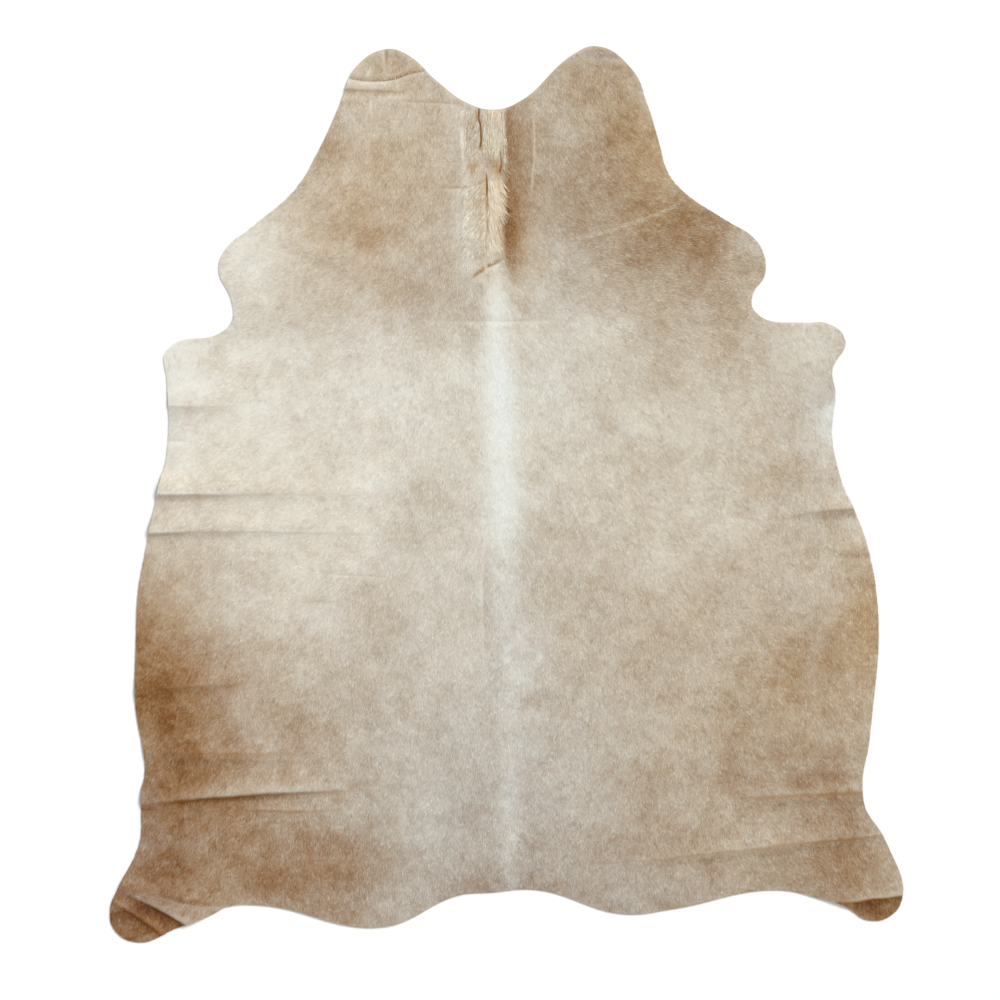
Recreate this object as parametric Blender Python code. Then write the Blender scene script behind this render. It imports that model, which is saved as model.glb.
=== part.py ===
"""A hair-on cowhide rug: one whole hide, lying spread on the floor with its coat up.

+Y runs from the rump to the neck and +Z is up. The floor is z = 0, under the flesh
side, and the origin is below the middle of the hide's length and width. The skin is
one sheet of even thickness. It lies flat but for the ripples at the belly edges, the
creases across the legs and neck lobes, and the low ridge of the mane.
"""

from math import cos, pi

import bmesh
import bpy
from mathutils import Vector
from mathutils.geometry import delaunay_2d_cdt

# Driving dimensions, in metres.
LEATHER = 0.002            # dressed skin
COAT = 0.002               # short hair, combed flat on it
THICKNESS = LEATHER + COAT
RIM_ANGLE = pi / 4.0       # edges bent more sharply than this stay crisp

COAT_COLOUR = (0.56, 0.47, 0.36)
COAT_ROUGHNESS = 0.85

# How finely the sheet is cut.
EDGE_STEP = 0.015          # between points along the cut edge
CURVE_STEPS = 12           # steps between two marks of the outline, before thinning
FOLD_STEP = 0.045          # between points along a fold
OVERRUN = 0.060            # how far a fold that meets the edge is carried past it
MERGE = 0.0008             # points nearer than this are one point
INSIDE_ONLY = 1            # the triangulation keeps what the cut edge encloses

# Where points lie across a fold, as shares of its half width.
SHARP_ROWS = (0.20, 0.45, 0.70, 1.00)
SOFT_ROWS = (0.50, 1.00)
SHARP_FROM = 0.0055        # folds at least this high get the finer rows

# The cut edge, clockwise from the notch between the neck lobes.
# name, across (+ to the right side), along (+ to the neck)
OUTLINE = (
    ("neck_notch", -0.028, 0.943),
    ("notch_right", 0.037, 0.966),
    ("right_lobe_inner", 0.163, 1.077),
    ("right_lobe_tip", 0.222, 1.099),
    ("right_lobe_outer", 0.312, 1.039),
    ("right_neck_upper", 0.345, 0.962),
    ("right_neck", 0.379, 0.850),
    ("right_neck_bend", 0.393, 0.798),
    ("right_neck_lower", 0.426, 0.751),
    ("right_shoulder", 0.535, 0.675),
    ("right_foreleg_front", 0.602, 0.634),
    ("right_foreleg_side", 0.628, 0.600),
    ("right_foreleg_tip", 0.635, 0.540),
    ("right_armpit_front", 0.604, 0.486),
    ("right_armpit", 0.610, 0.449),
    ("right_brisket_top", 0.742, 0.421),
    ("right_brisket", 0.782, 0.422),
    ("right_brisket_corner", 0.832, 0.380),
    ("right_brisket_back", 0.800, 0.303),
    ("right_belly_bump", 0.808, 0.253),
    ("right_belly_hollow", 0.800, 0.146),
    ("right_belly_front", 0.817, 0.053),
    ("right_belly", 0.882, -0.111),
    ("right_belly_crown", 0.913, -0.295),
    ("right_flank", 0.893, -0.589),
    ("right_thigh_hollow", 0.877, -0.752),
    ("right_thigh", 0.933, -0.852),
    ("right_hindleg_side", 0.971, -0.991),
    ("right_hindleg_tip", 0.938, -1.036),
    ("right_hindleg_inner", 0.884, -1.043),
    ("right_hock_back", 0.832, -1.010),
    ("right_hock_front", 0.765, -0.989),
    ("right_rump_hollow", 0.661, -0.970),
    ("right_rump_side", 0.406, -1.017),
    ("right_rump_crown", 0.291, -1.029),
    ("tail_right", 0.071, -0.969),
    ("tail_root", -0.038, -0.976),
    ("tail_left", -0.112, -0.982),
    ("left_rump_crown", -0.297, -1.059),
    ("left_rump_hollow", -0.606, -1.006),
    ("left_hock_front", -0.682, -1.010),
    ("left_hock", -0.721, -1.031),
    ("left_hock_back", -0.807, -1.063),
    ("left_hindleg_tip", -0.902, -1.098),
    ("left_hindleg_side", -0.960, -1.067),
    ("left_hindleg_corner", -0.970, -1.015),
    ("left_hindleg_outer", -0.950, -0.963),
    ("left_thigh", -0.898, -0.852),
    ("left_thigh_hollow", -0.894, -0.780),
    ("left_flank_bump", -0.895, -0.733),
    ("left_flank_hollow", -0.885, -0.680),
    ("left_flank", -0.908, -0.520),
    ("left_belly_crown", -0.907, -0.358),
    ("left_belly_side", -0.902, -0.242),
    ("left_belly", -0.882, -0.131),
    ("left_belly_rise", -0.847, 0.035),
    ("left_belly_front", -0.832, 0.091),
    ("left_girth", -0.833, 0.300),
    ("left_brisket_corner", -0.839, 0.334),
    ("left_brisket", -0.815, 0.369),
    ("left_armpit_back", -0.708, 0.393),
    ("left_armpit", -0.671, 0.425),
    ("left_armpit_front", -0.673, 0.477),
    ("left_foreleg_tip", -0.704, 0.553),
    ("left_foreleg_front", -0.683, 0.606),
    ("left_shoulder", -0.622, 0.656),
    ("left_neck_lower", -0.514, 0.751),
    ("left_neck_side", -0.455, 0.852),
    ("left_neck_upper", -0.405, 0.962),
    ("left_lobe_outer", -0.367, 1.049),
    ("left_lobe_tip", -0.294, 1.092),
    ("left_lobe_slope", -0.246, 1.081),
    ("left_lobe_inner", -0.169, 1.014),
    ("notch_left", -0.098, 0.962),
)

# The folds. Each crest runs from a first to a last place and bows to its left side.
# Heights are the crest's, over the flat hide, at its start, at its peak and at its end;
# the peak lies at a share of the length. The widths are from the crest to the foot of
# its left and right slopes, looking along it. One that starts or ends high meets the
# cut edge there, and the edge rises with it.
# name, start, end, bow, peak share, (start, peak, end heights), left width, right width
FOLDS = (
    ("left_girth_ripple", (-0.835, 0.220), (-0.600, 0.218), 0.003, 0.20,
     (0.004, 0.004, 0.0), 0.050, 0.024),
    ("left_belly_ripple", (-0.853, 0.003), (-0.235, -0.006), 0.006, 0.20,
     (0.011, 0.009, 0.0), 0.060, 0.018),
    ("left_belly_second", (-0.873, -0.090), (-0.215, -0.092), 0.008, 0.22,
     (0.010, 0.007, 0.0), 0.050, 0.022),
    ("left_flank_ripple", (-0.912, -0.492), (-0.560, -0.452), 0.010, 0.35,
     (0.004, 0.006, 0.0), 0.050, 0.026),
    ("left_thigh_low", (-0.895, -0.634), (-0.455, -0.645), -0.004, 0.45,
     (0.003, 0.0045, 0.0), 0.040, 0.018),
    ("left_thigh_ripple", (-0.900, -0.757), (-0.340, -0.716), 0.006, 0.48,
     (0.005, 0.011, 0.0), 0.060, 0.017),
    ("left_thigh_second", (-0.700, -0.773), (-0.390, -0.781), 0.004, 0.45,
     (0.0, 0.004, 0.0), 0.018, 0.016),
    ("left_leg_bend", (-0.940, -0.970), (-0.775, -1.056), 0.004, 0.60,
     (0.003, 0.009, 0.008), 0.046, 0.014),
    ("left_leg_upper", (-0.924, -0.966), (-0.700, -1.002), -0.006, 0.45,
     (0.002, 0.005, 0.002), 0.040, 0.012),
    ("left_leg_tip", (-0.968, -0.999), (-0.840, -1.076), 0.006, 0.50,
     (0.003, 0.004, 0.003), 0.022, 0.016),
    ("right_loin_ripple", (0.815, 0.062), (0.580, 0.046), 0.004, 0.30,
     (0.004, 0.0045, 0.0), 0.022, 0.045),
    ("right_belly_ripple", (0.853, -0.036), (0.600, -0.054), -0.004, 0.22,
     (0.010, 0.008, 0.0), 0.020, 0.050),
    ("right_belly_second", (0.893, -0.135), (0.760, -0.137), 0.002, 0.20,
     (0.005, 0.004, 0.0), 0.018, 0.034),
    ("right_thigh_ripple", (0.870, -0.733), (0.545, -0.749), 0.003, 0.45,
     (0.005, 0.007, 0.0), 0.024, 0.040),
    ("right_rump_ridge", (0.925, -0.829), (0.030, -0.916), 0.012, 0.30,
     (0.005, 0.008, 0.0), 0.020, 0.048),
    ("right_leg_bend", (0.971, -0.975), (0.800, -1.004), 0.004, 0.45,
     (0.009, 0.009, 0.005), 0.014, 0.042),
    ("left_lobe_bend", (-0.390, 0.996), (-0.240, 0.988), 0.002, 0.25,
     (0.006, 0.006, 0.0), 0.024, 0.011),
    ("left_lobe_crease", (-0.380, 1.024), (-0.198, 1.040), -0.010, 0.40,
     (0.004, 0.0045, 0.004), 0.030, 0.009),
    ("left_lobe_low", (-0.400, 0.968), (-0.150, 0.962), 0.002, 0.40,
     (0.003, 0.003, 0.0), 0.020, 0.014),
    ("mane_ridge", (-0.040, 0.950), (-0.030, 0.545), 0.004, 0.40,
     (0.004, 0.006, 0.0), 0.042, 0.016),
    ("neck_left_pleat", (-0.108, 0.900), (-0.096, 0.760), -0.006, 0.45,
     (0.0, 0.003, 0.0), 0.012, 0.020),
    ("neck_right_pleat", (0.062, 0.890), (0.066, 0.720), 0.004, 0.45,
     (0.0, 0.003, 0.0), 0.012, 0.020),
    ("left_shoulder_fold", (-0.600, 0.645), (-0.345, 0.536), 0.008, 0.50,
     (0.0, 0.004, 0.0), 0.050, 0.030),
)


def blend(low, high, share):
    """Go smoothly from low to high as share goes from 0 to 1."""
    share = min(max(share, 0.0), 1.0)
    return low + (high - low) * share * share * (3.0 - 2.0 * share)


class Fold:
    """One low ridge of the hide, with a crest line and a slope on each side of it."""

    def __init__(self, start, end, bow, peak, heights, left, right):
        self.start = Vector(start)
        run = Vector(end) - self.start
        self.length = run.length
        self.along = run / self.length
        self.leftward = Vector((-self.along.y, self.along.x))
        self.bow = bow
        self.peak = peak
        self.heights = heights
        self.left = left
        self.right = right

    def crest_height(self, share):
        first, top, last = self.heights
        if share < self.peak:
            return blend(first, top, share / self.peak)
        return blend(top, last, (share - self.peak) / (1.0 - self.peak))

    def crest_offset(self, share):
        share = min(max(share, 0.0), 1.0)
        return 4.0 * self.bow * share * (1.0 - share)

    def height(self, point):
        """The rise at a place of the sheet: round at the crest, level at both feet."""
        from_start = point - self.start
        share = from_start.dot(self.along) / self.length
        aside = from_start.dot(self.leftward) - self.crest_offset(share)
        width = self.left if aside > 0.0 else self.right
        if abs(aside) >= width:
            return 0.0
        return self.crest_height(share) * 0.5 * (1.0 + cos(pi * aside / width))

    def rows(self):
        """Lines of points along the fold: one on the crest and the rest on its slopes."""
        shares = SHARP_ROWS if max(self.heights) >= SHARP_FROM else SOFT_ROWS
        asides = [-share * self.right for share in reversed(shares)]
        asides += [0.0]
        asides += [share * self.left for share in shares]
        first = -OVERRUN if self.heights[0] > 0.0 else 0.0
        last = self.length + (OVERRUN if self.heights[2] > 0.0 else 0.0)
        steps = max(2, round((last - first) / FOLD_STEP))
        for aside in asides:
            row = []
            for step in range(steps + 1):
                walked = first + (last - first) * step / steps
                offset = aside + self.crest_offset(walked / self.length)
                row.append(self.start + self.along * walked + self.leftward * offset)
            yield row


def outline_points():
    """The cut edge as a closed line of points, from a smooth curve through its marks."""
    curve = bpy.data.curves.new("cut_edge", 'CURVE')
    curve.fill_mode = 'NONE'
    curve.dimensions = '2D'
    spline = curve.splines.new('BEZIER')
    spline.bezier_points.add(len(OUTLINE) - 1)
    spline.use_cyclic_u = True
    spline.resolution_u = CURVE_STEPS
    for mark, (_, across, along) in zip(spline.bezier_points, OUTLINE):
        mark.co = (across, along, 0.0)
        mark.handle_left_type = 'AUTO'
        mark.handle_right_type = 'AUTO'
    guide = bpy.data.objects.new("cut_edge", curve)
    bpy.context.collection.objects.link(guide)
    bpy.context.view_layer.update()
    mesh = guide.to_mesh()
    dense = [vert.co.to_2d() for vert in mesh.vertices]
    guide.to_mesh_clear()
    bpy.data.objects.remove(guide)
    bpy.data.curves.remove(curve)

    kept = [dense[0]]
    walked = 0.0
    for before, here in zip(dense, dense[1:]):
        walked += (here - before).length
        if walked >= EDGE_STEP:
            kept.append(here)
            walked = 0.0
    if (kept[-1] - kept[0]).length < 0.5 * EDGE_STEP:
        kept.pop()
    return kept


def centred(points):
    """Move points so that their box is centred on the origin; also give the move."""
    across = [point.x for point in points]
    along = [point.y for point in points]
    middle = Vector((min(across) + max(across), min(along) + max(along))) / 2.0
    return [point - middle for point in points], middle


def encloses(loop, point):
    """Tell whether a closed line of points goes round a point."""
    inside = False
    for here, after in zip(loop, loop[1:] + loop[:1]):
        if (here.y > point.y) != (after.y > point.y):
            share = (point.y - here.y) / (after.y - here.y)
            if point.x < here.x + (after.x - here.x) * share:
                inside = not inside
    return inside


def middle_of(places):
    return sum(places, Vector((0.0, 0.0))) / len(places)


def cut_sheet(edge, folds):
    """Cut the flat sheet into triangles that keep to its edge and to the folds' lines."""
    points = list(edge)
    lines = []
    for fold in folds:
        for row in fold.rows():
            first = len(points)
            points += row
            lines += [(index, index + 1) for index in range(first, len(points) - 1)]
    cut = delaunay_2d_cdt(points, lines, [list(range(len(edge)))], INSIDE_ONLY, MERGE)
    flat_points, _, triangles, *_ = cut
    kept = []
    for triangle in triangles:
        if encloses(edge, middle_of([flat_points[index] for index in triangle])):
            kept.append(triangle)
    return flat_points, kept


def raised_sheet(flat_points, triangles, folds):
    """Raise the folds on the flat triangles and give the sheet its thickness."""
    sheet = bmesh.new()
    verts = {}
    for index in sorted({index for triangle in triangles for index in triangle}):
        place = flat_points[index]
        rise = sum(fold.height(place) for fold in folds)
        verts[index] = sheet.verts.new((place.x, place.y, rise + THICKNESS))
    for triangle in triangles:
        sheet.faces.new([verts[index] for index in triangle])
    flesh_side = bmesh.ops.extrude_face_region(sheet, geom=list(sheet.faces))
    lowered = [item for item in flesh_side["geom"] if isinstance(item, bmesh.types.BMVert)]
    bmesh.ops.translate(sheet, verts=lowered, vec=(0.0, 0.0, -THICKNESS))
    bmesh.ops.recalc_face_normals(sheet, faces=list(sheet.faces))
    return sheet


def coat_material():
    material = bpy.data.materials.new("hair_on_leather")
    material.use_nodes = True
    shader = material.node_tree.nodes["Principled BSDF"]
    shader.inputs["Base Color"].default_value = (*COAT_COLOUR, 1.0)
    shader.inputs["Roughness"].default_value = COAT_ROUGHNESS
    shader.inputs["Metallic"].default_value = 0.0
    return material


def make_hide():
    edge, middle = centred(outline_points())
    folds = []
    for _, start, end, *shape in FOLDS:
        folds.append(Fold(Vector(start) - middle, Vector(end) - middle, *shape))
    sheet = raised_sheet(*cut_sheet(edge, folds), folds)
    mesh = bpy.data.meshes.new("hide")
    sheet.to_mesh(mesh)
    sheet.free()
    mesh.shade_smooth()
    mesh.set_sharp_from_angle(angle=RIM_ANGLE)
    mesh.materials.append(coat_material())
    hide = bpy.data.objects.new("hide", mesh)
    bpy.context.collection.objects.link(hide)


for old in list(bpy.data.objects):
    bpy.data.objects.remove(old)
make_hide()
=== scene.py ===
"""The looks of a hair-on cowhide rug, spread on a pale floor with its coat up.

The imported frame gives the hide: its cut edge and the lie of its folds. Over that go a
finer skin of the same outline, a coat of short hair that follows the animal's lines, and
the longer mane along the neck. Everything is in metres, but the tables of places on the
hide are in millimetres. +Y runs from the rump to the neck and +X to the animal's right
side.
"""

from math import cos, radians, sin

import bmesh
import bpy
import numpy as np
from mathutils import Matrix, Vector
from mathutils.bvhtree import BVHTree
from mathutils.geometry import delaunay_2d_cdt


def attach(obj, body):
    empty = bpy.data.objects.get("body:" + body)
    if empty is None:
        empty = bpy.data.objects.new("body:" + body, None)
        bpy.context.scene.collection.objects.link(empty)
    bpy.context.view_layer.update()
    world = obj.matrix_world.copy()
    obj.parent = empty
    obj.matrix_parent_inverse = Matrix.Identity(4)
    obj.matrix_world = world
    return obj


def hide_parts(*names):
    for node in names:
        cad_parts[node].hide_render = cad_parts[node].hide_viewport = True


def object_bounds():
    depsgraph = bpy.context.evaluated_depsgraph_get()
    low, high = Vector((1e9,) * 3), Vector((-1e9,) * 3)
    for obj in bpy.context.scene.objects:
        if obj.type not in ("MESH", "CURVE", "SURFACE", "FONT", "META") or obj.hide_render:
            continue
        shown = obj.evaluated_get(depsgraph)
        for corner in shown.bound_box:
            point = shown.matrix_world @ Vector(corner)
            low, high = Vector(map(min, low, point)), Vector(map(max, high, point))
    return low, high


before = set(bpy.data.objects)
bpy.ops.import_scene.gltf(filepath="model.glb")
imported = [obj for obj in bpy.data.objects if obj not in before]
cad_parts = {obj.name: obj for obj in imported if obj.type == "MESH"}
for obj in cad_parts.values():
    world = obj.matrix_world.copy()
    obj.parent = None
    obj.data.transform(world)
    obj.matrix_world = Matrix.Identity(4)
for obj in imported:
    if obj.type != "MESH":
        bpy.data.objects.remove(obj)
CAD_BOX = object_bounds()

# The sheet.
LEATHER = 0.0021             # dressed skin, without its hair
OUTLINE_STEP = 0.008         # between points of the cut edge
EDGE_TRIM = 0.0006           # the skin stops this far inside the solid's outline
EDGE_ROOM = 0.55             # share of a step that is left free along the edge
COARSE = 0.0140              # between points of the skin where it lies flat
FINE = 0.0065                # and where it folds
HEX_ROWS = 0.866             # between staggered rows, as a share of the step
STEEP = 0.05                 # slope from which it counts as folded
CREASE_ROWS = (-0.0075, -0.0035, 0.0, 0.0035, 0.0075)
CREASE_STEP = 0.010
CREASE_ROOM = 0.003          # free beyond a crease's rows
POINT_MERGE = 0.0005         # points nearer than this become one
WALL = 0.3                   # a face whose normal rises or falls less is cut edge
FACE_ORDER = Vector((1.0, 0.37, 0.11))    # the skin's faces are counted along this line
SHARP_EDGE = radians(50.0)
DEEPEST = -0.0016            # no crease dips further than this
CREASE_REACH = 3.0           # in half widths
WEAK_END = 0.3               # a crease's strength at its very ends
WEAK_RUN = 0.35              # share of its first and last run over which it grows
FOLD_REACH = 2.5             # in reaches of its light or shade
FOLD_EDGE = 0.0016           # how wide the change from light to shade is at a fold
FOLD_DROP = 0.0030           # and how wide its drop

# The ground that skin and hair are laid by: an even grid of heights and other values.
GRID = 0.004
GRID_MARGIN = 0.048
GRID_END = 1.001             # in steps: reading stops just short of the last point
EDGE_REACH = 0.040           # distances to the cut edge are measured this far
WELL_ABOVE = 1.0             # heights are measured from here downwards
HEIGHT_PASSES = 2            # of softening
SPREAD_PASSES = 10           # and of carrying heights out past the edge
SWELL = 0.0006               # slack in the skin, as low waves
# size, seed
SWELL_WAVES = ((0.110, 3), (0.260, 4))
LATTICE = 512                # points each way of a mottling's own grid
LATTICE_MIDDLE = (173.0, 191.0)    # where the hide's middle lies on it
TINY = 1.0e-6                # less than this counts as nothing
FAR = 1.0e9                  # further than any place

# The coat.
COAT_SEED = 20
NECK_FROM = 0.42             # along the hide, where the neck's coat begins
RUMP_FROM = -0.36            # and the rump's
HAIR_SPACING = 0.0021
ROOT_ROOM = 0.0004           # between the skin's edge and the nearest roots
LEAST_RUN = 1.0e-5           # of a hair towards the edge, for working out its overhang
HAIR_LENGTH = (0.0070, 0.0115)
HAIR_WIDTH = (0.0011, 0.0017)
HAIR_LIFT = (0.0005, 0.0013)
HAIR_SINK = 0.0002
HAIR_OVERHANG = 0.0009       # how far hair reaches past the solid's outline
LEAST_LIFT = 0.3             # share of its lift that the shortest hair keeps
HAIR_ROLL = radians(13.0)
ROLL_SPREAD = 0.8
LOCK_TURN = radians(11.0)
LOCK_LIFT = 0.35
HAIR_TURN = radians(12.0)
# Painted light at the hairs' tips and painted shade at their roots, where the hairs shade each
# other.
TIP_LIGHT = 0.04
ROOT_SHADE = -0.05
LOCK_TONE = 0.075
HAIR_TONE = 0.150
TONE_SPREAD = 0.7
LIE_TONE = 0.07              # evens out what the light adds where hair lies away from it
LIE_MIDDLE = 0.6             # and keeps the coat's mean tone
STREAK = 0.0035              # hairs carry their colour this far past a patch's edge
COMBED = (0.0010, 0.0060)    # nearer than this to a fold's line, hair is shorter
SHORTEST = 0.32              # share of its length that it keeps on the line

# Hairs of a lock turn, rise, roll and colour alike.
# size, seed
TURN_LOCKS = ((0.030, 31), (0.012, 32))
LIFT_LOCKS = (0.010, 33)
ROLL_LOCKS = (0.009, 34)
TONE_LOCKS = (0.006, 35)

# Tone goes from 0, brown, to 1, white. Hair colours are as seen in even light.
MID_TONE = 0.66
TONE_RANGE = (-0.30, 1.10)
HAIR_COLOURS = (
    # tone, red, green, blue
    (-0.30, 95, 66, 44),
    (-0.10, 122, 91, 63),
    (0.00, 139, 107, 77),
    (0.22, 160, 133, 106),
    (0.48, 181, 165, 144),
    (0.63, 195, 183, 165),
    (0.75, 207, 197, 182),
    (0.86, 218, 211, 196),
    (0.93, 225, 220, 207),
    (1.10, 232, 231, 224),
)
LIGHT_GAIN = (1.095, 1.022, 0.98)        # how much of its paint a hair shows in the light
SKY_GLEAM = (0.025, 0.050, 0.053)        # and what gloss and hairs beside it add to any paint
WARM_AXIS = (0.0049, 0.0010, -0.0035)    # what one step of warmth adds to a colour
WARM_SHARE = (0.25, 1.50, 0.20)          # less on brown hair: at tone 0, more by tone, least
# Painted shade on the skin between the hairs: it keeps this share of the hair's colour.
UNDERCOAT_SHADE_SHARE = 0.90                   # how much of the hair's colour is left between hairs
# place on the ramp, red, green, blue
SUEDE_COLOURS = ((0.3, 188, 176, 160), (0.7, 208, 198, 184))

# The broad patches of the coat.
# name, across, along, half across, half along, turn, tone
PATCHES = (
    ("left_barrel_light", -600, 165, 370, 280, 0, 0.2),
    ("left_back_light", -270, 230, 195, 220, 0, 0.14),
    ("right_back_light", 130, 245, 220, 235, 0, 0.18),
    ("right_barrel_light", 485, 135, 235, 170, 0, 0.08),
    ("left_foreleg_light", -635, 570, 120, 115, 0, 0.26),
    ("left_brisket_light", -805, 300, 105, 100, 0, 0.17),
    ("left_girth_white", -805, 90, 65, 75, 0, 0.11),
    # The next patch is painted shade under the brisket fold's crest.
    ("left_rib_dull", -780, 200, 60, 25, 0, -0.09),
    ("right_brisket_light", 750, 365, 145, 110, 0, 0.16),
    ("right_girth_white", 800, 160, 65, 85, 0, 0.2),
    ("left_belly_light", -530, -160, 245, 185, 0, 0.12),
    ("back_light", -90, -60, 145, 220, 0, 0.06),
    ("loin_light", -140, -355, 270, 270, 0, 0.08),
    ("right_loin_light", 425, -60, 220, 120, 0, 0.08),
    ("left_flank_brown", -880, -480, 135, 245, 0, -0.42),
    ("left_flank_tan", -835, -550, 280, 295, 0, -0.24),
    ("left_thigh_brown", -715, -870, 295, 175, 0, -0.34),
    ("left_buttock_brown", -445, -940, 145, 115, 0, -0.18),
    ("left_thigh_edge", -795, -710, 105, 120, 0, -0.14),
    # The next patch is the leg tip's own brown hair, darkened further with painted shade from the
    # folds over it.
    ("left_leg_dark", -950, -1055, 150, 80, -20, -0.5),
    ("rump_grey", -15, -970, 490, 120, 0, -0.12),
    ("right_thigh_brown", 815, -925, 140, 115, 0, -0.26),
    # The next patch is the leg tip's own brown hair, darkened further with painted shade from the
    # fold over it.
    ("right_leg_dark", 930, -1025, 85, 50, 10, -0.34),
    ("right_thigh_tan", 685, -685, 295, 305, 0, -0.22),
    ("right_flank_streak", 720, -465, 270, 85, 42, -0.12),
    ("right_flank_edge", 895, -285, 85, 170, 0, -0.14),
    ("right_shoulder_brown", 455, 620, 145, 115, 0, -0.36),
    ("right_neck_brown", 330, 770, 160, 215, 0, -0.24),
    ("right_lobe_tan", 230, 985, 145, 125, 0, -0.16),
    ("right_withers_tan", 130, 745, 120, 145, 0, -0.12),
    ("left_neck_tan", -345, 695, 150, 135, 0, -0.14),
    ("left_neck_edge", -450, 870, 55, 65, 0, -0.12),
    ("left_shoulder_tan", -260, 500, 220, 75, 0, -0.05),
    ("right_girth_tan", 425, 405, 195, 85, 0, -0.09),
    ("left_stifle", -395, -625, 170, 145, 0, -0.07),
    ("buttock_grey", 330, -870, 220, 145, 0, -0.08),
)

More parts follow.
